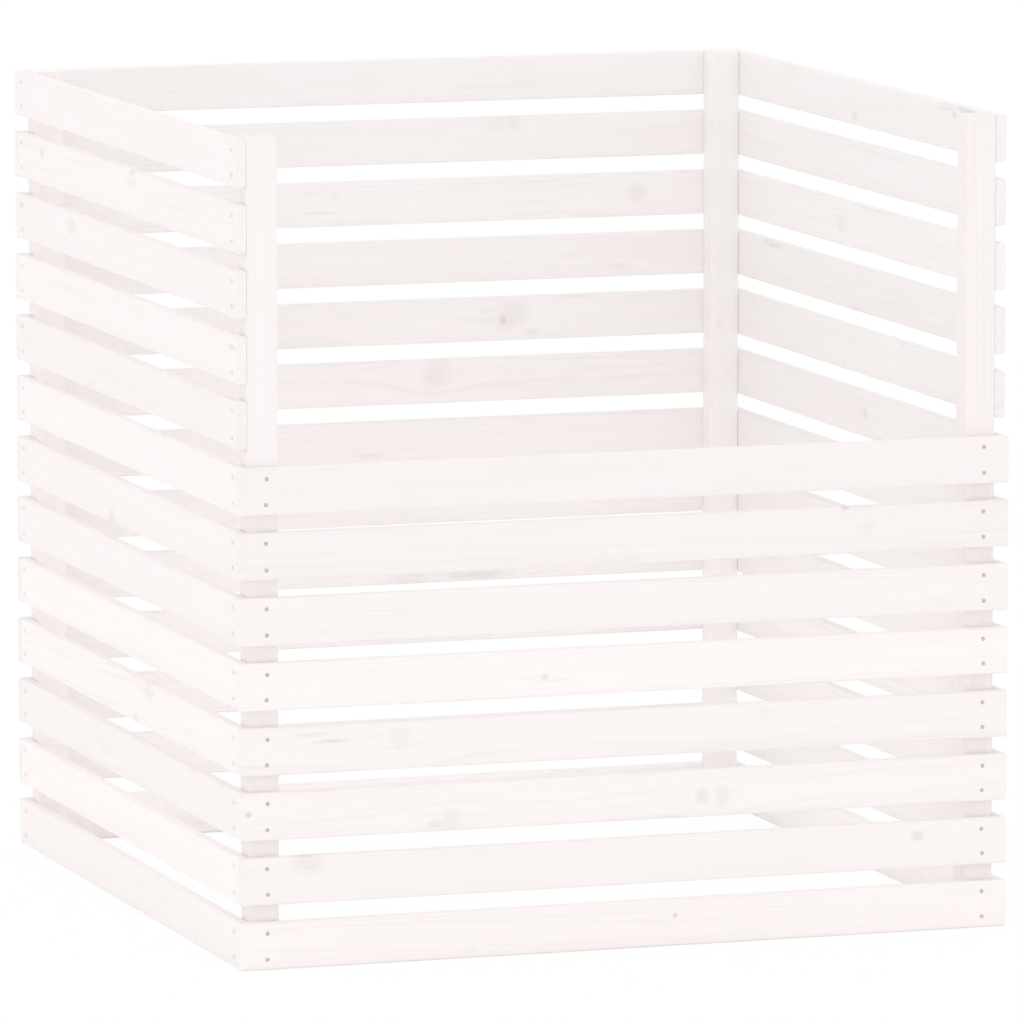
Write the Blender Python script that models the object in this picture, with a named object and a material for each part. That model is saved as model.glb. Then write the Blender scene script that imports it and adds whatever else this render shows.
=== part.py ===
"""Slatted wooden compost bin, open at the top and bottom.

Four corner posts stand inside the bin and carry four walls of horizontal slats.
The left, right and back walls have a slat in every row. The front wall stops
lower down, so that the bin can be filled and emptied over it.
The front and back slats run the full width and cover the end grain of the side
slats, which butt against them and are flush with the outer faces of the posts.

Frame: metres, +Z up, +X to the right along the front, the front wall faces -Y.
The origin is on the ground, in the middle of the footprint.
"""
import math

import bmesh
import bpy
from mathutils import Matrix

# Footprint over the outer faces of the slats
BIN_WIDTH = 1.000
BIN_DEPTH = 1.000

# Planed slats, and how their rows are spaced
SLAT_HEIGHT = 0.059
SLAT_THICKNESS = 0.014
SLAT_GAP = 0.021
WALL_ROWS = 13
FRONT_ROWS = 8

# Corner posts, measured along the front and along the side
POST_WIDTH = 0.038
POST_DEPTH = 0.032

# Rounded long edges, and the small bevel left by sanding the sawn ends
SLAT_ARRIS_RADIUS = 0.003
POST_ARRIS_RADIUS = 0.003
END_BEVEL = 0.0008
ARRIS_STEPS = 3

# Clearance between two boards that touch
SEAT = 0.0003

# White paint over pine: each board takes a slightly different tone
PAINT_COLOUR = (0.86, 0.84, 0.81)
PAINT_ROUGHNESS = 0.62
TONE_STEP = 0.006
TONES = 5

# Sizes that follow from the ones above
ROW_PITCH = SLAT_HEIGHT + SLAT_GAP
BIN_HEIGHT = WALL_ROWS * SLAT_HEIGHT + (WALL_ROWS - 1) * SLAT_GAP
INNER_HALF_WIDTH = BIN_WIDTH / 2 - SLAT_THICKNESS - SEAT
INNER_HALF_DEPTH = BIN_DEPTH / 2 - SLAT_THICKNESS - SEAT
SIDE_SLAT_LENGTH = 2 * INNER_HALF_DEPTH


def clear_scene():
    """Removes whatever the opened file holds."""
    for obj in list(bpy.data.objects):
        bpy.data.objects.remove(obj, do_unlink=True)


def rounded_outline(across, up, radius):
    """Corner points of a rectangle with rounded corners, anticlockwise round its centre."""
    radius = min(radius, across / 2.5, up / 2.5)
    points = []
    for corner, (side, level) in enumerate(((1, 1), (-1, 1), (-1, -1), (1, -1))):
        centre_y = side * (across / 2 - radius)
        centre_z = level * (up / 2 - radius)
        for step in range(ARRIS_STEPS + 1):
            angle = math.pi / 2 * (corner + step / ARRIS_STEPS)
            points.append((centre_y + radius * math.cos(angle), centre_z + radius * math.sin(angle)))
    return points


def board_mesh(name, length, across, up, radius):
    """A planed board that runs along X: rounded long edges, and ends with a small bevel."""
    full = rounded_outline(across, up, radius)
    eased = rounded_outline(across - 2 * END_BEVEL, up - 2 * END_BEVEL, radius - END_BEVEL)
    stations = (
        (-length / 2, eased),
        (-length / 2 + END_BEVEL, full),
        (length / 2 - END_BEVEL, full),
        (length / 2, eased),
    )
    board = bmesh.new()
    rings = [[board.verts.new((x, y, z)) for y, z in outline] for x, outline in stations]
    for ring, following in zip(rings, rings[1:]):
        for index, vert in enumerate(ring):
            after = (index + 1) % len(ring)
            board.faces.new((vert, ring[after], following[after], following[index]))
    board.faces.new(reversed(rings[0]))
    board.faces.new(rings[-1])
    bmesh.ops.recalc_face_normals(board, faces=board.faces)
    mesh = bpy.data.meshes.new(name)
    board.to_mesh(mesh)
    board.free()
    mesh.shade_smooth()
    mesh.set_sharp_from_angle(angle=math.radians(40))
    return mesh


def paint(name, tone):
    """White paint for one board, a little lighter or darker than its neighbours."""
    material = bpy.data.materials.new(name)
    material.use_nodes = True
    shader = material.node_tree.nodes["Principled BSDF"]
    colour = [channel + TONE_STEP * (tone % TONES - TONES // 2) for channel in PAINT_COLOUR]
    shader.inputs["Base Color"].default_value = (*colour, 1.0)
    shader.inputs["Roughness"].default_value = PAINT_ROUGHNESS
    shader.inputs["Metallic"].default_value = 0.0
    return material


def place(name, mesh, location, turn, parent, tone):
    """Puts a named board in the bin, turned from its own frame by the given matrix."""
    board = bpy.data.objects.new(name, mesh)
    board.parent = parent
    board.matrix_local = Matrix.Translation(location) @ turn
    if not mesh.materials:
        mesh.materials.append(None)
    board.material_slots[0].link = "OBJECT"
    board.material_slots[0].material = paint(name + "_paint", tone)
    bpy.context.collection.objects.link(board)
    return board


def row_height(row):
    """Height of the middle of a slat, with row 0 on the ground."""
    return SLAT_HEIGHT / 2 + row * ROW_PITCH


def build_posts(parent):
    """Four inside corner posts, as tall as the walls."""
    mesh = board_mesh("post", BIN_HEIGHT, POST_DEPTH, POST_WIDTH, POST_ARRIS_RADIUS)
    upright = Matrix.Rotation(-math.pi / 2, 4, "Y")
    x = INNER_HALF_WIDTH - POST_WIDTH / 2
    y = INNER_HALF_DEPTH - POST_DEPTH / 2
    corners = (("front_left", -x, -y), ("front_right", x, -y), ("back_left", -x, y), ("back_right", x, y))
    for tone, (corner, post_x, post_y) in enumerate(corners):
        place("post_" + corner, mesh, (post_x, post_y, BIN_HEIGHT / 2), upright, parent, tone)


def build_side_walls(parent):
    """Left and right walls: slats between the front and back walls, outside the posts."""
    mesh = board_mesh("side_slat", SIDE_SLAT_LENGTH, SLAT_THICKNESS, SLAT_HEIGHT, SLAT_ARRIS_RADIUS)
    along_side = Matrix.Rotation(math.pi / 2, 4, "Z")
    x = (BIN_WIDTH - SLAT_THICKNESS) / 2
    for row in range(WALL_ROWS):
        for side, wall_x in (("left", -x), ("right", x)):
            name = f"{side}_slat_{row + 1:02d}"
            place(name, mesh, (wall_x, 0.0, row_height(row)), along_side, parent, row * 3 + len(side))


def build_cross_walls(parent):
    """Back wall to full height, and the lower front wall, both over the full width."""
    mesh = board_mesh("cross_slat", BIN_WIDTH, SLAT_THICKNESS, SLAT_HEIGHT, SLAT_ARRIS_RADIUS)
    y = (BIN_DEPTH - SLAT_THICKNESS) / 2
    for wall, wall_y, rows in (("back", y, WALL_ROWS), ("front", -y, FRONT_ROWS)):
        for row in range(rows):
            name = f"{wall}_slat_{row + 1:02d}"
            place(name, mesh, (0.0, wall_y, row_height(row)), Matrix.Identity(4), parent, row * 2 + len(wall))


def build_bin():
    clear_scene()
    ground = bpy.data.objects.new("bin_on_ground", None)
    bpy.context.collection.objects.link(ground)
    build_posts(ground)
    build_side_walls(ground)
    build_cross_walls(ground)
    bpy.context.view_layer.update()


build_bin()
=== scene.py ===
"""Looks for the slatted compost bin: whitewashed pine boards, nailed to four corner posts.

Every CAD board is replaced by a dressed one of the same size, in the same place. A dressed
board is planed slightly uneven, with eased edges, nail seats and drying splits cut into it,
and it carries its own grain, knots and brushed wash. The nails are pieces of their own.

A board's own frame: X runs along the grain, Z up the wide face, and -Y is its outer face.
Row frame: metres, +Z up, +X to the right along the front, and the front wall faces -Y.
"""
import math
import random

import bmesh
import bpy
from mathutils import Matrix, Vector, noise


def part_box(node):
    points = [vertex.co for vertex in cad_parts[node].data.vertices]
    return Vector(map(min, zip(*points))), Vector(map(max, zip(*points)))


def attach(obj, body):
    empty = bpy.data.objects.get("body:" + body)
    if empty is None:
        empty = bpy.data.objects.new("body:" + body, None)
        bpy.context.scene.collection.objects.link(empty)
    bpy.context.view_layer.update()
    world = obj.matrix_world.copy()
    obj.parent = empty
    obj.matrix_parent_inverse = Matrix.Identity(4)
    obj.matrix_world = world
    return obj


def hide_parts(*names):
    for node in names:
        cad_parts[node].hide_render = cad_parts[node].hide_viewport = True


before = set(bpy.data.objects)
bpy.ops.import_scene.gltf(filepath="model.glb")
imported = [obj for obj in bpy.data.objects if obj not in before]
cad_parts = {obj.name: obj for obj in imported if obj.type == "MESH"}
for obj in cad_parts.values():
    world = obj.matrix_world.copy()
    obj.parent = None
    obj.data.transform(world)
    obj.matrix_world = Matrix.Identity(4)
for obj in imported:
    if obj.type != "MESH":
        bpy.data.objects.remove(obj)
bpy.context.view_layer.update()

# Planed boards: rounded long edges, sanded ends, and how uneven the planer and use have left them
ARRIS_RADIUS = 0.003
ARRIS_STEPS = 5
END_BEVEL = 0.0005
STATION_STEP = 0.028
FLAT_STEP = 0.012
PLANER_WAVE = 0.00016
EDGE_WAVE = 0.00035
KNOCK_DEPTH = 0.0011

# Posts are planed finer, and their paint fills the seat next to the slats
POST_ARRIS_RADIUS = 0.0009
POST_WEAR = 0.25
POST_SWELL = 0.00024

# Nails, two at each end of a slat: heads sunk below the face, and closer to it in the side walls
NAIL_HEAD_RADIUS = 0.00232
NAIL_SEAT_RADIUS = 0.00250
SIDE_NAIL_SEAT_RADIUS = 0.00238
NAIL_SEAT_DEPTH = 0.0024
NAIL_SINK = 0.0003
SIDE_NAIL_SINK = 0.00008
NAIL_RISE = 0.016
NAIL_FROM_LEFT_END = 0.0337
NAIL_FROM_RIGHT_END = 0.0325
NAIL_FROM_SIDE_END = 0.0165
NAIL_STRAY = 0.0008
NAIL_TILT = 0.04
NAIL_SIDES = 18

# A faint dark halo painted round each nail in the side walls: half length, half height, depth
NAIL_HALO = (0.0110, 0.0042, 0.54)

# Turn about Z that brings a slat's outer face to the outside of its wall
WALL_TURN = {"front": 0, "right": 90, "back": 180, "left": -90}

# How a distance along the wall, in the row frame, runs in the board's own frame
WALL_SENSE = {"front": 1, "right": 1, "back": -1, "left": -1}

# Colours, scene linear
PINE_PALE = (0.830, 0.745, 0.680)
PINE_LATE = (0.610, 0.505, 0.430)
KNOT_WOOD = (0.400, 0.345, 0.310)
RAW_WOOD = (0.400, 0.335, 0.290)
NAIL_STEEL = (0.705, 0.668, 0.660)
NAIL_STAIN = (0.535, 0.500, 0.490)
WASHED_STEEL = (0.830, 0.797, 0.787)
WASHED_STAIN = (0.725, 0.690, 0.677)

# What multiplies the wash where it dried warmer, and on the sawn ends of the right wall
WARMER = (1.002, 0.998, 0.984)
SAWN_END = (0.990, 0.990, 1.002)

# The dry paint's gloss, and how strongly and how far the relief of paint and nails stands out
PAINT_GLOSS = 0.32
PAINT_RELIEF = (0.55, 0.00022)
NAIL_RELIEF = (0.40, 0.00010)

# The white for each wall and for two of the posts leans a little pinker or greyer.
# On the back and right walls and the back right post, whose inner faces are seen in shade,
# it is greyer as painted shade: it gives that shade its grey
WASHES_AND_SHADE_TINTS = {
    "front": (0.991, 0.944, 0.944),
    "left": (0.991, 0.943, 0.945),
    "back": (0.970, 0.944, 0.949),
    "right": (0.965, 0.944, 0.945),
    "post": (0.995, 0.949, 0.954),
    "post_front_right": (0.981, 0.932, 0.931),
    "post_back_right": (0.961, 0.941, 0.929),
}

# Knots, dark streaks, and streaks of painted shade:
# (board, along the wall, up from the slat's middle, half length, half height, depth).
# On a post, the second number is its height and the third runs to the left of its middle.
KNOTS_AND_SHADE_STREAKS = (
    ("front_slat_01", 0.061, 0.0086, 0.0046, 0.0044, 1.00),
    ("front_slat_01", 0.162, -0.0180, 0.0180, 0.0130, 0.20),
    ("front_slat_01", -0.207, -0.0217, 0.0091, 0.0111, 0.14),
    ("front_slat_02", -0.4135, 0.0235, 0.0265, 0.0200, 0.48),
    ("front_slat_02", 0.382, 0.0115, 0.0108, 0.0095, 0.65),
    ("front_slat_03", -0.490, 0.0036, 0.0052, 0.0050, 1.12),
    ("front_slat_03", -0.250, -0.0208, 0.0145, 0.0075, 0.48),
    ("front_slat_03", -0.230, -0.0157, 0.0165, 0.0135, 0.34),
    ("front_slat_03", 0.096, -0.0035, 0.0118, 0.0130, 0.46),
    ("front_slat_03", 0.123, -0.0055, 0.0108, 0.0120, 0.37),
    ("front_slat_03", 0.057, -0.0256, 0.0184, 0.0038, 0.41),
    ("front_slat_04", -0.298, 0.0080, 0.0180, 0.0200, 0.34),
    ("front_slat_04", -0.410, 0.0185, 0.0256, 0.0034, 0.50),
    ("front_slat_04", -0.387, 0.0098, 0.0310, 0.0030, 0.58),
    ("front_slat_04", 0.178, 0.0160, 0.0100, 0.0110, 0.14),
    ("front_slat_05", -0.109, -0.0048, 0.0074, 0.0060, 0.64),
    ("front_slat_05", -0.135, -0.0052, 0.0600, 0.0011, 0.26),
    ("front_slat_05", -0.089, -0.0071, 0.0230, 0.0020, 0.48),
    ("front_slat_06", 0.410, -0.0155, 0.0085, 0.0070, 0.10),
    ("front_slat_07", 0.2835, 0.0280, 0.0070, 0.0029, 0.98),
    ("front_slat_07", 0.303, 0.0275, 0.0230, 0.0070, 0.30),
    ("front_slat_07", 0.310, 0.0026, 0.0160, 0.0130, 0.26),
    ("front_slat_07", 0.006, -0.0205, 0.0065, 0.0050, 0.11),
    # Back slat 5, where it shows low through a gap in the front: two streaks of painted shade along
    # its lower part
    ("back_slat_05", 0.125, -0.0205, 0.0640, 0.0095, 0.62),
    ("back_slat_05", 0.040, -0.0205, 0.0420, 0.0090, 0.34),
    ("back_slat_07", -0.018, -0.0160, 0.0340, 0.0052, 0.37),
    ("back_slat_07", 0.355, 0.0270, 0.0071, 0.0027, 0.10),
    ("back_slat_08", 0.0680, 0.0040, 0.0175, 0.0125, 0.45),
    ("back_slat_08", 0.0734, 0.0120, 0.0240, 0.0220, 0.31),
    ("back_slat_09", 0.205, -0.0187, 0.0125, 0.0062, 0.42),
    ("back_slat_09", 0.166, -0.0022, 0.0070, 0.0118, 1.06),
    ("back_slat_09", 0.124, 0.0005, 0.0300, 0.0085, 0.26),
    ("back_slat_09", 0.146, 0.0040, 0.0200, 0.0070, 0.30),
    ("back_slat_09", 0.180, 0.0035, 0.0320, 0.0150, 0.42),
    ("back_slat_09", 0.173, -0.0262, 0.0127, 0.0033, 0.30),
    ("back_slat_09", 0.272, 0.0225, 0.0368, 0.0038, 0.34),
    ("back_slat_10", 0.327, -0.0160, 0.0184, 0.0094, 0.24),
    ("back_slat_10", 0.345, 0.0035, 0.0520, 0.0215, 0.10),
    ("back_slat_11", 0.353, 0.0034, 0.0185, 0.0165, 0.40),
    ("back_slat_11", 0.382, -0.0085, 0.0313, 0.0121, 0.08),
    ("back_slat_11", -0.068, 0.0115, 0.0080, 0.0072, 0.30),
    ("back_slat_11", -0.084, -0.0100, 0.0420, 0.0024, 0.52),
    ("back_slat_12", 0.179, 0.0225, 0.0165, 0.0160, 0.32),
    ("back_slat_12", 0.165, 0.0230, 0.0352, 0.0120, 0.18),
    ("back_slat_12", -0.034, -0.0115, 0.0139, 0.0050, 0.11),
    ("back_slat_13", -0.315, -0.0040, 0.0560, 0.0012, 0.25),
    ("left_slat_12", -0.041, 0.0255, 0.0195, 0.0060, 0.58),
    ("left_slat_12", -0.040, 0.0175, 0.0330, 0.0098, 0.45),
    ("left_slat_12", 0.371, 0.0112, 0.0125, 0.0112, 0.64),
    ("left_slat_11", 0.236, 0.0110, 0.0290, 0.0145, 0.48),
    ("left_slat_09", 0.147, -0.0210, 0.0210, 0.0058, 0.25),
    ("left_slat_07", 0.058, -0.0200, 0.0225, 0.0145, 0.47),
    ("left_slat_04", -0.105, 0.0215, 0.0225, 0.0205, 0.31),
    ("left_slat_04", -0.047, -0.0203, 0.0180, 0.0088, 0.58),
    ("left_slat_04", -0.263, -0.0090, 0.0160, 0.0105, 0.06),
    ("left_slat_03", 0.091, -0.0068, 0.0200, 0.0078, 0.22),
    ("right_slat_13", 0.015, -0.0177, 0.0130, 0.0098, 0.60),
    # Right slat 13, next to the front right post: dark lines along its top, painted shade where the
    # post meets the slat
    ("right_slat_13", -0.342, 0.0165, 0.0120, 0.0055, 0.72),
    ("right_slat_13", -0.385, 0.0240, 0.0500, 0.0048, 1.00),
    ("right_slat_13", -0.320, 0.0222, 0.0640, 0.0040, 0.50),
    ("right_slat_11", 0.062, -0.0022, 0.0180, 0.0170, 0.30),
    ("right_slat_10", 0.349, 0.0272, 0.0110, 0.0038, 0.52),
    ("right_slat_10", 0.312, 0.0248, 0.0380, 0.0040, 0.57),
    ("right_slat_10", 0.011, -0.0258, 0.0230, 0.0040, 0.34),
    ("right_slat_09", -0.161, 0.0265, 0.0155, 0.0050, 0.33),
    ("right_slat_08", -0.029, 0.0010, 0.0108, 0.0105, 0.56),
    ("post_back_right", 0.655, 0.0080, 0.0070, 0.0055, 0.36),
)

# Pin marks in the end grain at the open front: (board, up from its middle, in from its outer face)
PIN_RADIUS = 0.0018
PIN_DEPTH = 0.0005
PIN_MARKS = (
    ("left_slat_09", 0.0103, 0.0042),
    ("left_slat_09", -0.0203, 0.0042),
    ("left_slat_13", -0.0108, 0.0042),
)

# Splits along the grain: (board, along the wall, up from the slat's middle, length, width, depth)
SPLITS = (
    ("front_slat_04", -0.385, 0.0096, 0.046, 0.0017, 0.0009),
)

# Dimples where a small knot's heart shrank:
# (board, along the wall, up from the slat's middle, half length, half height, depth)
DIMPLES = (
    ("front_slat_01", 0.063, 0.0084, 0.0014, 0.0014, 0.0006),
    ("front_slat_03", -0.489, 0.0028, 0.0014, 0.0014, 0.0006),
    ("front_slat_05", -0.108, -0.0050, 0.0012, 0.0012, 0.0005),
)

# How bright the wash comes out: most boards, and those set brighter or darker. This is partly the
# wash's own tone and partly painted light and shade, each board being set to how bright it looks
# under its light, so the lowest rows and the back right post are lifted against the shade near the
# ground and in the corner
ORDINARY_TONE = 0.972
BOARD_TONES_AND_LIGHT = {
    "front_slat_01": 1.006, "front_slat_02": 0.986, "front_slat_03": 0.986, "front_slat_04": 0.977,
    "front_slat_05": 1.006, "front_slat_06": 0.978, "front_slat_07": 0.960, "front_slat_08": 0.962,
    "left_slat_01": 0.990, "left_slat_02": 1.016, "left_slat_04": 0.998, "left_slat_05": 1.002,
    "left_slat_06": 0.976, "left_slat_07": 0.977, "left_slat_08": 0.992, "left_slat_09": 0.964,
    "left_slat_10": 0.984, "left_slat_12": 0.978, "left_slat_13": 0.974, "back_slat_01": 1.020,
    "back_slat_02": 0.982, "back_slat_03": 0.961, "back_slat_04": 0.953, "back_slat_05": 0.956,
    "back_slat_06": 0.958, "back_slat_07": 0.972, "back_slat_08": 0.980, "back_slat_09": 0.974,
    "back_slat_10": 0.982, "back_slat_11": 0.994, "back_slat_12": 0.979, "back_slat_13": 0.974,
    "right_slat_01": 1.008, "right_slat_02": 0.952, "right_slat_03": 0.950, "right_slat_04": 0.948,
    "right_slat_05": 0.947, "right_slat_06": 0.951, "right_slat_07": 0.958, "right_slat_08": 0.964,
    "right_slat_09": 0.971, "right_slat_10": 0.962, "right_slat_11": 0.992, "right_slat_12": 0.976,
    "right_slat_13": 0.974, "post_back_left": 0.996, "post_back_right": 1.016,
}

# Studio light: its level, how much it gains towards its key side, and where that side lies
STUDIO_LEVEL = 1.003
KEY_GAIN = 0.08
KEY_SIDE = (-0.72, -0.36, 0.60)

# Light inside the bin: a lantern near each corner, and a glow close above the ground
LANTERN_POWER = 0.25
LANTERN_RADIUS = 0.12
LANTERN_OUT = 0.235
LANTERN_HEIGHT = 0.25
GLOW_POWER = 0.20
GLOW_WIDTH = 0.9
GLOW_HEIGHT = 0.004

# The floor, and how much of its shadow the camera sees
FLOOR_RADIUS = 40.0
FLOOR_DROP = 0.0006
FLOOR_WHITE = (0.97, 0.97, 0.97, 1.0)
SHADOW_SHARE = 0.08

# The photograph's viewpoint
CAMERA_LENS = 346.3
CAMERA_PLACE = (-3.9483, -11.8291, 2.1734)
CAMERA_TILT = 82.269
CAMERA_TURN = -18.526


class Workings:
    """Short ways to add nodes to one node tree and to join them."""

    def __init__(self, tree):
        self.tree = tree

    def add(self, kind, **settings):
        node = self.tree.nodes.new(kind)
        for setting, value in settings.items():
            setattr(node, setting, value)
        return node

    def feed(self, socket, value):
        """Links an output to a socket, or sets a plain value on it."""
        if isinstance(value, bpy.types.NodeSocket):
            self.tree.links.new(value, socket)
        elif value is not None:
            socket.default_value = value

    def math(self, operation, *values, clamp=False):
        node = self.add("ShaderNodeMath", operation=operation, use_clamp=clamp)
        for socket, value in zip(node.inputs, values):
            self.feed(socket, value)
        return node.outputs[0]

    def vector(self, operation, *values):
        node = self.add("ShaderNodeVectorMath", operation=operation)
        for socket, value in zip(node.inputs, values):
            self.feed(socket, value)
        return node.outputs["Value" if operation in ("LENGTH", "DOT_PRODUCT") else "Vector"]

    def split(self, vector):
        node = self.add("ShaderNodeSeparateXYZ")
        self.feed(node.inputs[0], vector)
        return node.outputs

    def join(self, x, y, z):
        node = self.add("ShaderNodeCombineXYZ")
        for socket, value in zip(node.inputs, (x, y, z)):
            self.feed(socket, value)
        return node.outputs[0]

    def ramp(self, value, start, end, low=0.0, high=1.0):
        """Eases from low to high as the value goes from start to end."""
        node = self.add("ShaderNodeMapRange", interpolation_type="SMOOTHSTEP")
        for socket, number in zip(node.inputs, (value, start, end, low, high)):
            self.feed(socket, number)
        return node.outputs[0]

    def blend(self, share, first, second):
        """The first colour where share is 0, and the second where it is 1."""
        node = self.add("ShaderNodeMix", data_type="RGBA")
        self.feed(node.inputs["Factor"], share)
        colours = [socket for socket in node.inputs if socket.type == "RGBA"]
        for socket, value in zip(colours, (first, second)):
            self.feed(socket, (*value, 1.0) if isinstance(value, tuple) else value)
        return next(socket for socket in node.outputs if socket.type == "RGBA")

    def speckle(self, point, stretch, seed=0.0, detail=2.0, roughness=0.5):
        """Noise from 0 to 1 over a point, with so many features per metre in each direction."""
        placed = self.vector("MULTIPLY", point, stretch)
        node = self.add("ShaderNodeTexNoise", noise_dimensions="4D")
        self.feed(node.inputs["Vector"], placed)
        self.feed(node.inputs["W"], seed)
        self.feed(node.inputs["Scale"], 1.0)
        self.feed(node.inputs["Detail"], detail)
        self.feed(node.inputs["Roughness"], roughness)
        return node.outputs

    def relief(self, height, strength, distance):
        """A normal that follows a height over the surface."""
        bump = self.add("ShaderNodeBump")
        bump.inputs["Strength"].default_value = strength
        bump.inputs["Distance"].default_value = distance
        self.feed(bump.inputs["Height"], height)
        return bump.outputs["Normal"]

    def effect(self, tree, **values):
        """Places an effect, with its inputs given by name, where _ stands for a space."""
        node = self.add("ShaderNodeGroup", node_tree=tree)
        for title, value in values.items():
            self.feed(node.inputs[title.replace("_", " ")], value)
        return node.outputs


def new_effect(name, inputs, outputs):
    """An effect shared by materials: a node group with its named sockets."""
    tree = bpy.data.node_groups.new(name, "ShaderNodeTree")
    for title, kind in inputs:
        tree.interface.new_socket(title, in_out="INPUT", socket_type=kind)
    for title, kind in outputs:
        tree.interface.new_socket(title, in_out="OUTPUT", socket_type=kind)
    workings = Workings(tree)
    given = workings.add("NodeGroupInput").outputs
    result = workings.add("NodeGroupOutput").inputs
    return workings, given, result


NUMBER = "NodeSocketFloat"
POINT = "NodeSocketVector"
COLOUR = "NodeSocketColor"


def make_knot_effect():
    """A branch cut across: a dark heart with its own rings, and grain that flows round it."""
    w, given, result = new_effect(
        "Knot",
        (
            ("Point", POINT), ("Centre", POINT), ("Half Length", NUMBER), ("Half Height", NUMBER),
            ("Depth", NUMBER),
        ),
        (("Point", POINT), ("Dark", NUMBER)),
    )
    from_centre = w.split(w.vector("SUBTRACT", given["Point"], given["Centre"]))
    x, z = from_centre["X"], from_centre["Z"]
    wobble = w.math("SUBTRACT", w.speckle(given["Point"], (150.0, 60.0, 150.0))["Fac"], 0.5)
    across = w.math("DIVIDE", x, given["Half Length"])
    up = w.math("DIVIDE", z, given["Half Height"])
    squares = w.math("ADD", w.math("MULTIPLY", across, across), w.math("MULTIPLY", up, up))
    round_it = w.math("SQRT", squares)
    distance = w.math("MULTIPLY_ADD", wobble, 0.75, round_it)
    heart = w.ramp(distance, 0.28, 1.12, 1.0, 0.0)
    rim = w.math("MULTIPLY", w.ramp(distance, 0.62, 0.86), w.ramp(distance, 0.86, 1.12, 1.0, 0.0))
    rings = w.math("SINE", w.math("MULTIPLY", distance, 17.0))
    own_rings = w.math("MULTIPLY_ADD", rings, 0.07, 0.90)
    dark = w.math("MULTIPLY_ADD", rim, 0.10, w.math("MULTIPLY", heart, own_rings))
    w.feed(result["Dark"], w.math("MULTIPLY", dark, given["Depth"]))

    # The sampled point moves towards the knot, so that the lines drawn there bow out round it
    near_x = w.math("DIVIDE", across, 3.2)
    near_z = w.math("DIVIDE", up, 2.4)
    near = w.math("ADD", w.math("MULTIPLY", near_x, near_x), w.math("MULTIPLY", near_z, near_z))
    reach = w.math("EXPONENT", w.math("MULTIPLY", near, -1.0))
    side = w.math("DIVIDE", up, w.math("ADD", w.math("ABSOLUTE", up), 0.35))
    most = w.math("MULTIPLY", given["Half Height"], -0.95)
    push = w.math("MULTIPLY", w.math("MULTIPLY", reach, side), most)
    w.feed(result["Point"], w.vector("ADD", given["Point"], w.join(0.0, 0.0, push)))
    return w.tree


def make_grain_effect():
    """Growth rings round a pith beside the board, so that faces, edges and ends agree."""
    w, given, result = new_effect(
        "Pine grain",
        (("Point", POINT), ("Pith", POINT), ("Ring Width", NUMBER), ("Seed", NUMBER)),
        (("Ring", NUMBER), ("Fibre", NUMBER), ("Cloud", NUMBER)),
    )
    place = w.split(given["Point"])
    pith = w.split(given["Pith"])
    drift = w.split(w.speckle(given["Point"], (2.6, 14.0, 14.0), given["Seed"], 2.0)["Color"])
    ripple = w.split(w.speckle(given["Point"], (16.0, 60.0, 60.0), given["Seed"], 1.0)["Color"])

    def bent(own, centre, slow, quick):
        shifted = w.math("SUBTRACT", own, centre)
        shifted = w.math("MULTIPLY_ADD", slow, 0.011, shifted)
        return w.math("MULTIPLY_ADD", quick, 0.0012, shifted)

    lean = w.math("MULTIPLY", place["X"], pith["X"])
    y = bent(place["Y"], pith["Y"], drift["X"], ripple["X"])
    z = bent(w.math("SUBTRACT", place["Z"], lean), pith["Z"], drift["Y"], ripple["Y"])
    radius = w.vector("LENGTH", w.join(0.0, y, z))
    turns = w.math("DIVIDE", radius, given["Ring Width"])
    year = w.math("FRACT", turns)
    late = w.math("MULTIPLY", w.ramp(year, 0.30, 0.90), w.ramp(year, 0.90, 1.0, 1.0, 0.0))
    own_year = w.join(w.math("FLOOR", turns), 0.0, 0.0)
    strength = w.speckle(own_year, (1.7, 1.0, 1.0), given["Seed"], 0.0)["Fac"]
    w.feed(result["Ring"], w.math("MULTIPLY", late, w.ramp(strength, 0.25, 0.75, 0.12, 1.0)))
    fibre = w.speckle(given["Point"], (14.0, 900.0, 900.0), given["Seed"], 3.0, 0.6)["Fac"]
    w.feed(result["Fibre"], w.ramp(fibre, 0.30, 0.70))
    w.feed(result["Cloud"], w.speckle(given["Point"], (3.5, 30.0, 30.0), given["Seed"], 3.0)["Fac"])
    return w.tree


def make_edges_effect():
    """Where a point of a board lies: on an eased edge, on a sawn end, or in a cut."""
    w, given, result = new_effect(
        "Board edges",
        (("Point", POINT), ("Half Size", POINT)),
        (("Arris", NUMBER), ("End", NUMBER), ("Inside", NUMBER)),
    )
    place = w.split(w.vector("ABSOLUTE", given["Point"]))
    half = w.split(given["Half Size"])
    y = w.math("SUBTRACT", place["Y"], w.math("SUBTRACT", half["Y"], ARRIS_RADIUS))
    z = w.math("SUBTRACT", place["Z"], w.math("SUBTRACT", half["Z"], ARRIS_RADIUS))
    out_y = w.math("MAXIMUM", y, 0.0)
    out_z = w.math("MAXIMUM", z, 0.0)
    beyond = w.vector("LENGTH", w.join(0.0, out_y, out_z))
    within = w.math("MINIMUM", w.math("MAXIMUM", y, z), 0.0)
    below = w.math("SUBTRACT", ARRIS_RADIUS, w.math("ADD", beyond, within))
    w.feed(result["Arris"], w.ramp(w.math("MINIMUM", y, z), -0.0012, 0.0014))
    to_end = w.math("SUBTRACT", half["X"], place["X"])
    w.feed(result["End"], w.ramp(to_end, 0.0002, 0.0011, 1.0, 0.0))
    deep = w.math("MULTIPLY", w.ramp(below, 0.0007, 0.0012), w.ramp(to_end, 0.0009, 0.0013))
    w.feed(result["Inside"], deep)
    return w.tree


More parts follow.
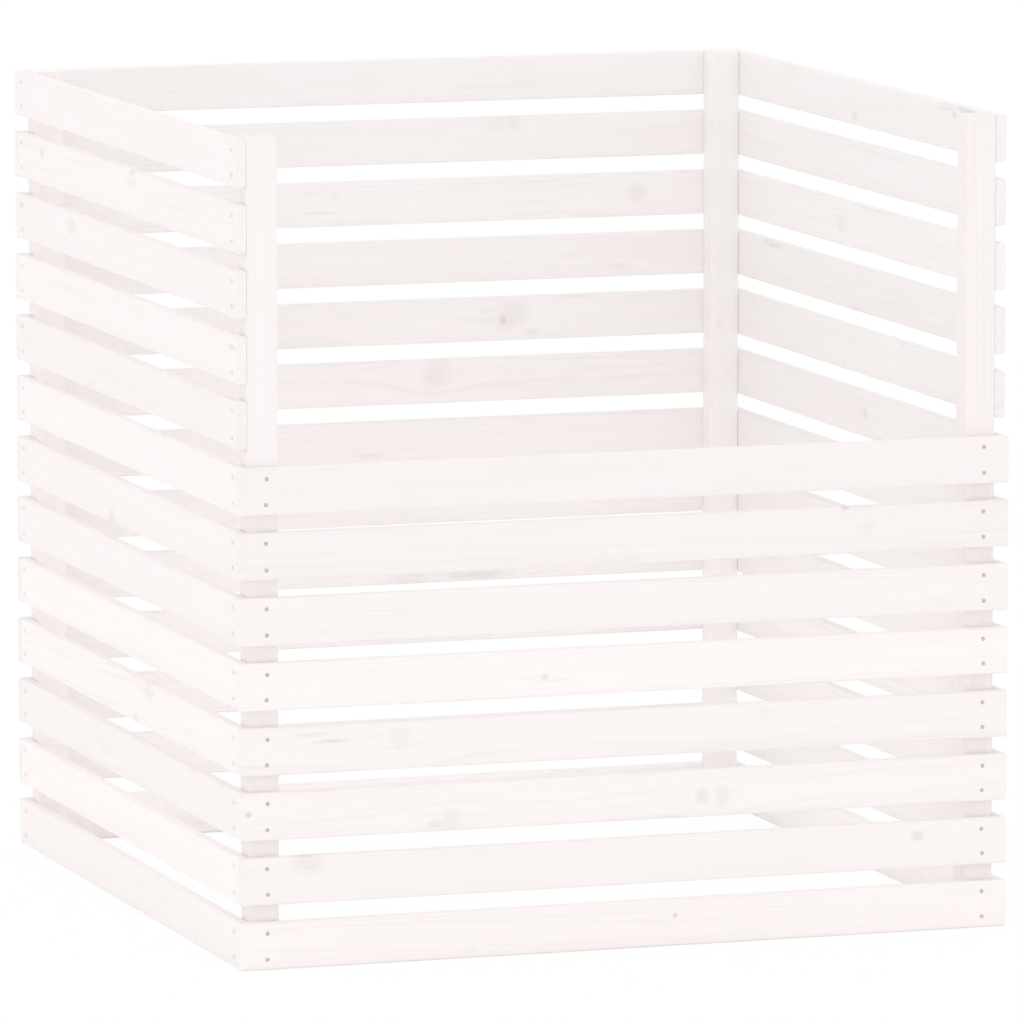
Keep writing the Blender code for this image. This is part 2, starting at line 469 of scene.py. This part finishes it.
def make_wash_effect():
    """A brushed white wash over pine: thin over late wood, knots, eased edges and sawn ends."""
    w, given, result = new_effect(
        "Brushed whitewash",
        (
            ("Point", POINT), ("Ring", NUMBER), ("Fibre", NUMBER), ("Cloud", NUMBER),
            ("Knot", NUMBER), ("Arris", NUMBER), ("End", NUMBER), ("Inside", NUMBER),
            ("Wash", COLOUR), ("End Wash", COLOUR), ("Seed", NUMBER),
        ),
        (("Colour", COLOUR), ("Roughness", NUMBER), ("Height", NUMBER)),
    )
    brush = w.speckle(given["Point"], (6.0, 130.0, 130.0), given["Seed"], 2.0, 0.55)["Fac"]
    thin = w.ramp(brush, 0.30, 0.75)
    worn = w.speckle(given["Point"], (45.0, 120.0, 120.0), given["Seed"], 2.0)["Fac"]
    rubbed = w.math("MULTIPLY", given["Arris"], w.ramp(worn, 0.45, 0.70))
    patchy = w.ramp(given["Cloud"], 0.30, 0.75)

    wood = w.blend(given["Ring"], PINE_PALE, PINE_LATE)
    wood = w.blend(w.math("MULTIPLY", given["Knot"], 1.6, clamp=True), wood, KNOT_WOOD)
    seen = w.math("MULTIPLY_ADD", given["Ring"], 0.030, 0.018)
    seen = w.math("MULTIPLY_ADD", given["Fibre"], 0.016, seen)
    seen = w.math("MULTIPLY_ADD", thin, 0.050, seen)
    seen = w.math("MULTIPLY_ADD", patchy, 0.075, seen)
    seen = w.math("MULTIPLY_ADD", given["Knot"], 0.28, seen)
    seen = w.math("MULTIPLY_ADD", rubbed, 0.12, seen)
    sawn = w.ramp(given["Ring"], 0.0, 1.0, 0.03, 0.08)
    seen = w.math("ADD", w.math("MULTIPLY", given["End"], sawn), seen)
    seen = w.math("MINIMUM", seen, 0.92)
    warm = w.speckle(given["Point"], (2.2, 16.0, 16.0), given["Seed"], 1.0)["Fac"]
    warm = w.ramp(warm, 0.40, 0.70)
    wash = w.blend(warm, given["Wash"], w.vector("MULTIPLY", given["Wash"], WARMER))
    wash = w.blend(given["End"], wash, given["End Wash"])
    coated = w.blend(seen, wash, wood)
    w.feed(result["Colour"], w.blend(given["Inside"], coated, RAW_WOOD))

    rough = w.math("MULTIPLY_ADD", given["Fibre"], 0.10, 0.54)
    rough = w.math("MULTIPLY_ADD", given["End"], 0.18, rough)
    rough = w.math("MULTIPLY_ADD", given["Knot"], -0.14, rough)
    w.feed(result["Roughness"], w.math("MULTIPLY_ADD", given["Inside"], 0.15, rough))

    height = w.math("MULTIPLY_ADD", given["Ring"], 0.40, w.math("MULTIPLY", given["Fibre"], 0.24))
    height = w.math("MULTIPLY_ADD", thin, -0.35, height)
    height = w.math("MULTIPLY_ADD", given["Knot"], 0.60, height)
    saw = w.speckle(given["Point"], (10.0, 1100.0, 180.0), given["Seed"], 2.0)["Fac"]
    saw_marks = w.math("MULTIPLY", saw, given["End"])
    w.feed(result["Height"], w.math("MULTIPLY_ADD", saw_marks, 1.1, height))
    return w.tree


KNOT = make_knot_effect()
GRAIN = make_grain_effect()
EDGES = make_edges_effect()
WHITEWASH = make_wash_effect()


def new_material(name):
    """A material with its shader, and the workings to fill it."""
    material = bpy.data.materials.new(name)
    material.use_nodes = True
    workings = Workings(material.node_tree)
    return material, workings, material.node_tree.nodes["Principled BSDF"]


def whitewashed_pine(node, half_size, knots, chance):
    """The finish of one board. The pith's place decides how its grain runs."""
    # The board's brightness: partly its own tone, partly painted light and shade
    tone_and_light = BOARD_TONES_AND_LIGHT.get(node, ORDINARY_TONE) * chance.uniform(0.999, 1.001)
    # The wash's colour, greyer on the back and right walls and the back right post as painted shade
    white = WASHES_AND_SHADE_TINTS.get(node) or WASHES_AND_SHADE_TINTS[node.split("_")[0]]
    painted = tuple(channel * tone_and_light for channel in white)
    sawn = SAWN_END if node.startswith("right") else (1.0, 1.0, 1.0)
    soaked = tuple(channel * share for channel, share in zip(painted, sawn))
    material, w, shader = new_material("Whitewashed pine " + node)
    own = w.add("ShaderNodeTexCoord").outputs["Object"]
    seed = chance.uniform(0.0, 90.0)
    flat_sawn = chance.random() < 0.6
    lean = chance.uniform(-0.035, 0.035)
    side = chance.choice((-1, 1))
    if flat_sawn:
        pith = lean, side * chance.uniform(0.012, 0.05), chance.uniform(-0.02, 0.02)
    else:
        behind = side * chance.uniform(0.0, 0.03)
        pith = lean, behind, chance.choice((-1, 1)) * chance.uniform(0.04, 0.09)
    point = own
    dark = None
    # Each dark mark, a knot or a streak of painted shade, darkens the wood and bends the grain
    # round it
    for along, up, half_length, half_height, depth in knots:
        knot = w.effect(
            KNOT, Point=point, Centre=(along, 0.0, up),
            Half_Length=half_length, Half_Height=half_height, Depth=depth,
        )
        point = knot["Point"]
        dark = knot["Dark"] if dark is None else w.math("MAXIMUM", dark, knot["Dark"])
    ring_width = chance.uniform(0.0032, 0.0050)
    grain = w.effect(GRAIN, Point=point, Pith=pith, Ring_Width=ring_width, Seed=seed)
    edges = w.effect(EDGES, Point=own, Half_Size=half_size)
    wash = w.effect(
        WHITEWASH, Point=own, Ring=grain["Ring"], Fibre=grain["Fibre"], Cloud=grain["Cloud"],
        Knot=dark, Arris=edges["Arris"], End=edges["End"], Inside=edges["Inside"],
        Wash=(*painted, 1.0), End_Wash=(*soaked, 1.0), Seed=seed + 3.0,
    )
    w.feed(shader.inputs["Base Color"], wash["Colour"])
    w.feed(shader.inputs["Roughness"], wash["Roughness"])
    w.feed(shader.inputs["Normal"], w.relief(wash["Height"], *PAINT_RELIEF))
    shader.inputs["Specular IOR Level"].default_value = PAINT_GLOSS
    return material


def nail_steel(name, bright, stain, bare):
    """Dull zinc with darker stains, as bare as the wash left it."""
    material, w, shader = new_material(name)
    own = w.add("ShaderNodeTexCoord").outputs["Object"]
    blotch = w.ramp(w.speckle(own, (700.0, 700.0, 700.0), 4.0, 3.0)["Fac"], 0.35, 0.65)
    w.feed(shader.inputs["Base Color"], w.blend(blotch, bright, stain))
    w.feed(shader.inputs["Roughness"], w.ramp(blotch, 0.0, 1.0, 0.42, 0.68))
    w.feed(shader.inputs["Metallic"], w.ramp(blotch, 0.0, 1.0, bare, bare * 0.5))
    w.feed(shader.inputs["Normal"], w.relief(blotch, *NAIL_RELIEF))
    return material


def section_points(thickness, height, arris):
    """Points round a board's section, anticlockwise: (across, up, facing across, facing up)."""
    corners = ((1, 1), (-1, 1), (-1, -1), (1, -1))
    flat_y = thickness / 2 - arris
    flat_z = height / 2 - arris
    points = []
    for corner, (side, level) in enumerate(corners):
        for step in range(ARRIS_STEPS + 1):
            angle = math.pi / 2 * (corner + step / ARRIS_STEPS)
            facing = (math.cos(angle), math.sin(angle))
            centre = (side * flat_y, level * flat_z)
            points.append((centre[0] + arris * facing[0], centre[1] + arris * facing[1], *facing))
        last = points[-1]
        after_side, after_level = corners[(corner + 1) % 4]
        run = (after_side - side) * flat_y, (after_level - level) * flat_z
        parts = max(1, round(math.hypot(*run) / FLAT_STEP))
        for part in range(1, parts):
            share = part / parts
            points.append((last[0] + run[0] * share, last[1] + run[1] * share, last[2], last[3]))
    return points


def planed_depth(x, facing_y, facing_z, across, up, seed):
    """How far a point of a board's skin lies below its nominal place.

    Planer waves run over the faces, and the long edges are soft and knocked here and there.
    """
    wave = 0.5 + 0.5 * noise.noise(Vector((x * 11.0, up * 22.0 + across * 40.0, seed)))
    depth = PLANER_WAVE * wave
    on_edge = min(1.0, 2.0 * abs(facing_y * facing_z))
    soft = 0.5 + 0.5 * noise.noise(Vector((x * 7.0, seed + 5.0 * facing_y, 3.0 * facing_z)))
    depth += EDGE_WAVE * soft * on_edge
    knock = noise.noise(Vector((x * 34.0, seed * 1.7 + 9.0 * facing_y, 7.0 * facing_z)))
    return depth + KNOCK_DEPTH * max(0.0, knock - 0.42) * on_edge


def planed_board(name, length, thickness, height, arris, seed, wear=1.0):
    """The board's closed mesh in its own frame, with a small bevel round each sawn end."""
    inner = length / 2 - END_BEVEL
    parts = round(2 * inner / STATION_STEP)
    even = [-inner + 2 * inner * part / parts for part in range(parts + 1)]
    stations = [-length / 2] + even + [length / 2]
    points = section_points(thickness, height, arris)
    board = bmesh.new()
    rings = []
    for x in stations:
        bevel = END_BEVEL if abs(x) > inner + 1e-9 else 0.0
        ring = []
        for across, up, facing_y, facing_z in points:
            inset = bevel + wear * planed_depth(x, facing_y, facing_z, across, up, seed)
            ring.append(board.verts.new((x, across - facing_y * inset, up - facing_z * inset)))
        rings.append(ring)
    for ring, following in zip(rings, rings[1:]):
        for index, vert in enumerate(ring):
            after = (index + 1) % len(ring)
            board.faces.new((vert, ring[after], following[after], following[index]))
    board.faces.new(reversed(rings[0]))
    board.faces.new(rings[-1])
    bmesh.ops.recalc_face_normals(board, faces=board.faces)
    mesh = bpy.data.meshes.new(name)
    board.to_mesh(mesh)
    board.free()
    return mesh


def close_tube(tool, rings):
    """Joins rings of points into one closed body."""
    made = [[tool.verts.new(point) for point in ring] for ring in rings]
    for ring, following in zip(made, made[1:]):
        for index, vert in enumerate(ring):
            after = (index + 1) % len(ring)
            tool.faces.new((vert, ring[after], following[after], following[index]))
    tool.faces.new(reversed(made[0]))
    tool.faces.new(made[-1])


def add_hole_cutter(tool, along, up, face, half_length, half_height, depth, sides=20):
    """A slightly tapered round or oval cutter that enters the outer face."""
    rings = []
    levels = ((face - 0.002, 1.12), (face, 1.05), (face + 0.0006, 1.0), (face + depth, 0.94))
    for y, spread in levels:
        rings.append([
            (
                along + half_length * spread * math.cos(2 * math.pi * side / sides),
                y,
                up + half_height * spread * math.sin(2 * math.pi * side / sides),
            )
            for side in range(sides)
        ])
    close_tube(tool, rings)


def add_split_cutter(tool, along, up, face, length, width, depth):
    """A spindle with a keel, widest in the middle of its length and thin at both ends."""
    rings = []
    steps = 14
    for step in range(steps + 1):
        share = step / steps
        swell = max(0.03, math.sin(math.pi * share) ** 0.7)
        x = along + (share - 0.5) * length
        rise = up + width * 0.5 * math.sin(5.0 * share)
        rings.append([
            (x, face - 0.001, rise - 0.55 * width * swell),
            (x, face - 0.001, rise + 0.55 * width * swell),
            (x, face + 0.0004 * swell, rise + 0.42 * width * swell),
            (x, face + depth * swell, rise + 0.05 * width * swell),
            (x, face + 0.0004 * swell, rise - 0.42 * width * swell),
        ])
    close_tube(tool, rings)


def add_pin_cutter(tool, end, across, up, sides=14):
    """A thin tapered cutter that enters a sawn end."""
    rings = []
    for x, spread in ((end + 0.001, 1.15), (end, 1.1), (end - PIN_DEPTH, 0.7)):
        rings.append([
            (
                x,
                across + PIN_RADIUS * spread * math.cos(2 * math.pi * side / sides),
                up + PIN_RADIUS * spread * math.sin(2 * math.pi * side / sides),
            )
            for side in range(sides)
        ])
    close_tube(tool, rings)


def cut_out(board, cutter):
    """Takes the cutter's bodies out of the board and keeps the result as the board's mesh."""
    boolean = board.modifiers.new("Cut", "BOOLEAN")
    boolean.operation = "DIFFERENCE"
    boolean.solver = "EXACT"
    boolean.object = cutter
    bpy.context.view_layer.update()
    seen = board.evaluated_get(bpy.context.evaluated_depsgraph_get())
    mesh = bpy.data.meshes.new_from_object(seen)
    board.modifiers.clear()
    before = board.data
    board.data = mesh
    bpy.data.meshes.remove(before)
    bpy.data.objects.remove(cutter, do_unlink=True)


def mesh_of(tool, name):
    """Turns a bmesh of closed bodies into a mesh, with its normals outward."""
    bmesh.ops.recalc_face_normals(tool, faces=tool.faces)
    mesh = bpy.data.meshes.new(name)
    tool.to_mesh(mesh)
    tool.free()
    return mesh


def shade(mesh):
    """Smooth over the rounded edges, and crisp where two faces meet at a real corner."""
    mesh.shade_smooth()
    mesh.set_sharp_from_angle(angle=math.radians(38))


def nail_places(wall, length, chance):
    """Where the nails stand in a slat's own frame, two near each end."""
    if wall in ("front", "back"):
        ends = ((-1, NAIL_FROM_LEFT_END), (1, NAIL_FROM_RIGHT_END))
    else:
        ends = ((-1, NAIL_FROM_SIDE_END), (1, NAIL_FROM_SIDE_END))
    places = []
    for end, from_end in ends:
        for level in (-1, 1):
            along = end * (length / 2 - from_end) + chance.uniform(-NAIL_STRAY, NAIL_STRAY)
            places.append((along, level * NAIL_RISE + chance.uniform(-NAIL_STRAY, NAIL_STRAY)))
    return places


def add_nail(tool, along, up, face, sink, chance):
    """A flat wire nail from its head inward: struck dimple, low dome, rim, and the shank's top."""
    top = face + sink
    foot = face + NAIL_SEAT_DEPTH - 0.0001
    profile = (
        (0.00000, top + 0.00016), (0.00045, top + 0.00014), (0.00080, top + 0.00002),
        (0.00120, top - 0.00001), (0.00155, top + 0.00007), (NAIL_HEAD_RADIUS, top + 0.00024),
        (NAIL_HEAD_RADIUS, top + 0.00075), (0.00150, top + 0.00100), (0.00105, top + 0.00120),
        (0.00100, foot), (0.00000, foot),
    )
    tilt = chance.uniform(-NAIL_TILT, NAIL_TILT)
    spin = chance.uniform(0.0, math.pi)
    rings = []
    for radius, y in profile:
        ring = []
        for side in range(NAIL_SIDES if radius else 1):
            angle = spin + 2 * math.pi * side / NAIL_SIDES
            x = radius * math.cos(angle)
            ring.append(tool.verts.new((along + x, y + tilt * x, up + radius * math.sin(angle))))
        rings.append(ring)
    for ring, following in zip(rings, rings[1:]):
        for side in range(NAIL_SIDES):
            after = (side + 1) % NAIL_SIDES
            if len(ring) == 1:
                tool.faces.new((ring[0], following[side], following[after]))
            elif len(following) == 1:
                tool.faces.new((ring[side], following[0], ring[after]))
            else:
                tool.faces.new((ring[side], following[side], following[after], ring[after]))


def put(name, mesh, matrix, material):
    """Shows a piece at its place and lets it ride on the bin's one body."""
    piece = bpy.data.objects.new(name, mesh)
    bpy.context.scene.collection.objects.link(piece)
    piece.matrix_world = matrix
    mesh.materials.clear()
    mesh.materials.append(material)
    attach(piece, "root")
    return piece


def on_board(marks, node):
    """The marks of one board out of a table, without the board's name."""
    return [mark[1:] for mark in marks if mark[0] == node]


def ordinary_knots(length, chance):
    """Small faint knots for a board that has none worth naming."""
    return [
        (
            chance.uniform(-0.42, 0.42) * length, chance.uniform(-0.022, 0.022),
            chance.uniform(0.005, 0.012), chance.uniform(0.004, 0.009), chance.uniform(0.14, 0.34),
        )
        for _ in range(chance.randint(1, 3))
    ]


def dress_slat(node, steel, washed_steel):
    """Stands a detailed slat and its nails in the place of a CAD slat."""
    chance = random.Random(node)
    wall = node.split("_")[0]
    low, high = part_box(node)
    size = high - low
    length = size.x if wall in ("front", "back") else size.y
    thickness = size.y if wall in ("front", "back") else size.x
    turn = Matrix.Rotation(math.radians(WALL_TURN[wall]), 4, "Z")
    matrix = Matrix.Translation((low + high) / 2) @ turn
    sense = WALL_SENSE[wall]
    face = -thickness / 2
    seed = chance.uniform(0.0, 500.0)
    mesh = planed_board(node + "_dressed", length, thickness, size.z, ARRIS_RADIUS, seed)
    nails = nail_places(wall, length, chance)

    on_side = wall in ("left", "right")
    seat = SIDE_NAIL_SEAT_RADIUS if on_side else NAIL_SEAT_RADIUS

    tool = bmesh.new()
    for along, up in nails:
        add_hole_cutter(tool, along, up, face, seat, seat, NAIL_SEAT_DEPTH)
    for along, up, half_length, half_height, depth in on_board(DIMPLES, node):
        add_hole_cutter(tool, along * sense, up, face, half_length, half_height, depth)
    for along, up, run, width, depth in on_board(SPLITS, node):
        add_split_cutter(tool, along * sense, up, face, run, width, depth)
    for up, inward in on_board(PIN_MARKS, node):
        add_pin_cutter(tool, length / 2, face + inward, up)
    cutter = bpy.data.objects.new("cutter", mesh_of(tool, "cutter"))
    bpy.context.scene.collection.objects.link(cutter)

    # The board's knots and dark streaks, with its streaks of painted shade
    knots = [(along * sense, *rest) for along, *rest in on_board(KNOTS_AND_SHADE_STREAKS, node)]
    if wall in ("back", "right") and not knots:
        knots = ordinary_knots(length, chance)
    # Side-wall nails get a faint dark halo painted round them
    if on_side:
        knots += [(along, up, *NAIL_HALO) for along, up in nails]
    half_size = (length / 2, thickness / 2, size.z / 2)
    finish = whitewashed_pine(node, half_size, knots, chance)
    board = bpy.data.objects.new("board_" + node, mesh)
    bpy.context.scene.collection.objects.link(board)
    cut_out(board, cutter)
    board.matrix_world = matrix
    board.data.materials.clear()
    board.data.materials.append(finish)
    shade(board.data)
    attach(board, "root")
    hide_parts(node)

    heads = bmesh.new()
    for along, up in nails:
        add_nail(heads, along, up, face, SIDE_NAIL_SINK if on_side else NAIL_SINK, chance)
    head_mesh = mesh_of(heads, "nails_" + node)
    shade(head_mesh)
    put("nails_" + node, head_mesh, matrix, washed_steel if on_side else steel)


def dress_post(node):
    """Stands a detailed post in the place of a CAD post."""
    chance = random.Random(node)
    low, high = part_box(node)
    size = high - low
    seed = chance.uniform(0.0, 500.0)
    deep, wide = size.y + 2 * POST_SWELL, size.x + 2 * POST_SWELL
    mesh = planed_board(node + "_dressed", size.z, deep, wide, POST_ARRIS_RADIUS, seed, POST_WEAR)
    matrix = Matrix.Translation((low + high) / 2) @ Matrix.Rotation(-math.pi / 2, 4, "Y")
    knots = [(along - size.z / 2, *rest) for along, *rest in on_board(KNOTS_AND_SHADE_STREAKS, node)]
    finish = whitewashed_pine(node, (size.z / 2, deep / 2, wide / 2), knots, chance)
    shade(mesh)
    board = put("board_" + node, mesh, matrix, finish)
    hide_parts(node)


def lay_floor():
    """A wide pale floor. The camera sees it white, with part of the object's shadow."""
    tool = bmesh.new()
    bmesh.ops.create_circle(tool, cap_ends=True, segments=96, radius=FLOOR_RADIUS)
    floor = bpy.data.objects.new("floor", mesh_of(tool, "floor"))
    floor.location = (0.0, 0.0, -FLOOR_DROP)
    bpy.context.scene.collection.objects.link(floor)
    material, w, shader = new_material("Pale floor")
    shader.inputs["Base Color"].default_value = FLOOR_WHITE
    shader.inputs["Roughness"].default_value = 0.9
    shader.inputs["Specular IOR Level"].default_value = 0.0
    rays = w.add("ShaderNodeLightPath").outputs
    seen = w.math("MAXIMUM", rays["Is Camera Ray"], rays["Is Glossy Ray"])
    seen = w.math("MAXIMUM", seen, rays["Is Transmission Ray"])
    white = w.add("ShaderNodeEmission")
    shadowed = w.add("ShaderNodeBsdfDiffuse")
    shadowed.inputs["Color"].default_value = (1.0, 1.0, 1.0, 1.0)
    shown = w.add("ShaderNodeMixShader")
    shown.inputs[0].default_value = SHADOW_SHARE
    w.feed(shown.inputs[1], white.outputs[0])
    w.feed(shown.inputs[2], shadowed.outputs[0])
    mixed = w.add("ShaderNodeMixShader")
    w.feed(mixed.inputs[0], seen)
    w.feed(mixed.inputs[1], shader.outputs[0])
    w.feed(mixed.inputs[2], shown.outputs[0])
    w.feed(material.node_tree.nodes["Material Output"].inputs["Surface"], mixed.outputs[0])
    floor.data.materials.append(material)


def light_studio():
    """Soft white light from everywhere, a little stronger from the front left and above."""
    world = bpy.data.worlds.new("Soft studio")
    bpy.context.scene.world = world
    world.use_nodes = True
    w = Workings(world.node_tree)
    w.tree.nodes.clear()
    towards = w.add("ShaderNodeTexCoord").outputs["Generated"]
    key = Vector(KEY_SIDE).normalized()
    facing = w.vector("DOT_PRODUCT", w.vector("NORMALIZE", towards), tuple(key))
    strength = w.math("MULTIPLY_ADD", facing, KEY_GAIN, STUDIO_LEVEL)
    lighting = w.add("ShaderNodeBackground")
    w.feed(lighting.inputs["Strength"], strength)
    backdrop = w.add("ShaderNodeBackground")
    for background in (lighting, backdrop):
        background.inputs["Color"].default_value = (1.0, 1.0, 1.0, 1.0)
    rays = w.add("ShaderNodeLightPath").outputs
    seen = w.math("MAXIMUM", rays["Is Camera Ray"], rays["Is Glossy Ray"])
    seen = w.math("MAXIMUM", seen, rays["Is Transmission Ray"])
    mixed = w.add("ShaderNodeMixShader")
    w.feed(mixed.inputs[0], seen)
    w.feed(mixed.inputs[1], lighting.outputs[0])
    w.feed(mixed.inputs[2], backdrop.outputs[0])
    output = w.add("ShaderNodeOutputWorld")
    w.feed(output.inputs["Surface"], mixed.outputs[0])


def hang_lamp(name, lamp_kind, power, place):
    """A lamp that lights the bin and is not seen itself."""
    glow = bpy.data.lights.new(name, lamp_kind)
    glow.energy = power
    lamp = bpy.data.objects.new(name, glow)
    lamp.location = place
    lamp.visible_camera = False
    lamp.visible_glossy = False
    bpy.context.scene.collection.objects.link(lamp)
    return lamp


def light_inside():
    """Soft lamps low inside the bin, so that its inner faces are as bright as the outer ones."""
    for index, (x, y) in enumerate(((-1, -1), (1, -1), (-1, 1), (1, 1))):
        place = (x * LANTERN_OUT, y * LANTERN_OUT, LANTERN_HEIGHT)
        lantern = hang_lamp(f"lantern_{index + 1}", "POINT", LANTERN_POWER, place)
        lantern.data.shadow_soft_size = LANTERN_RADIUS
    glow = hang_lamp("floor_glow", "AREA", GLOW_POWER, (0.0, 0.0, GLOW_HEIGHT))
    glow.data.shape = "SQUARE"
    glow.data.size = GLOW_WIDTH
    glow.rotation_euler = (math.pi, 0.0, 0.0)


def set_camera():
    """The photograph's viewpoint: a long lens from the front left, a little above the bin."""
    camera = bpy.data.objects.new("camera", bpy.data.cameras.new("camera"))
    camera.data.sensor_width = 36.0
    camera.data.lens = CAMERA_LENS
    camera.data.clip_end = 200.0
    camera.location = CAMERA_PLACE
    camera.rotation_euler = (math.radians(CAMERA_TILT), 0.0, math.radians(CAMERA_TURN))
    bpy.context.scene.collection.objects.link(camera)
    bpy.context.scene.camera = camera


steel = nail_steel("Nail steel", NAIL_STEEL, NAIL_STAIN, 0.85)
washed_steel = nail_steel("Washed nail steel", WASHED_STEEL, WASHED_STAIN, 0.40)
for node in sorted(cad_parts):
    if node.startswith("post_"):
        dress_post(node)
    else:
        dress_slat(node, steel, washed_steel)
lay_floor()
light_studio()
light_inside()
set_camera()
bpy.context.scene.view_settings.view_transform = "Standard"
